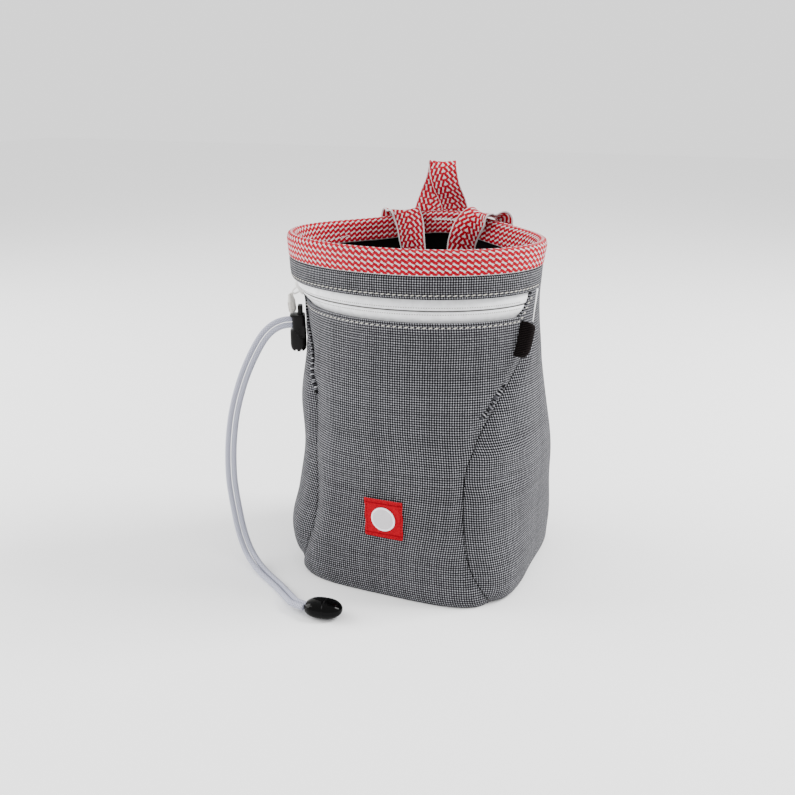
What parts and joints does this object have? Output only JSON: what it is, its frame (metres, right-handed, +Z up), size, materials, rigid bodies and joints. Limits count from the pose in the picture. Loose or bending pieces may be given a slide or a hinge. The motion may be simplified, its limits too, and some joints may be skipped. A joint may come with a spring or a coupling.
{
  "type": "chalk bag",
  "caption": "Soft climbing chalk bag with a flat base, open bound rim, zipped front pocket, webbing loops, and a closing cord in a sprung cord lock.",
  "frame": {"origin": "on the flat underside of the base, straight below the middle of the rim", "axes": "+Z up to the rim and the hang loop, -Y out of the front with the label, +X to the right as the front is seen"},
  "size_m": [0.1541, 0.1512, 0.1996],
  "materials": {
    "weave": "matt two-tone grey basket weave",
    "patterned_tape": "matt red and white woven tape",
    "black_cloth": "matt black cloth",
    "zip_tape": "smooth white coated tape",
    "label_cloth": "red satin weave",
    "white_thread": "white stitching",
    "black_plastic": "moulded black plastic",
    "white_metal": "white coated metal",
    "white_plastic": "soft white moulding",
    "cord": "bluish white braided cord",
    "glossy_black": "polished black moulding"
  },
  "bodies": {
    "bag": {"front_panel": "weave", "back_panel": "weave", "gusset_left": "weave", "gusset_right": "weave", "base_panel": "weave", "collar_band": "weave", "rim_binding": "patterned_tape", "lining": "black_cloth", "zip_tape_upper": "zip_tape", "zip_tape_lower": "zip_tape", "strap_left": "patterned_tape", "strap_right": "patterned_tape", "hang_loop": "patterned_tape", "brush_loop": "black_cloth", "label": "label_cloth", "label_mark": "white_thread", "cord_lock": "black_plastic", "zip_slider": "white_metal", "cord_strand_upper": "cord", "cord_strand_lower": "cord", "cord_end_cap": "glossy_black"},
    "pull": {"zip_pull": "white_plastic"},
    "button": {"lock_button": "black_plastic"}
  },
  "joints": [
    {"name": "zip_pull_swing", "type": "hinge", "parent": "bag", "child": "pull", "pos_m": [-0.05604, -0.0234, 0.13728], "axis": [-0.5026, 0.8645, 0], "range_deg": [0, 120]},
    {"name": "lock_button_press", "type": "slide", "parent": "bag", "child": "button", "axis": [0, 0, -1], "range_m": [0, 0.0025], "stiffness_N_per_m": 800, "springref_m": -0.002}
  ]
}
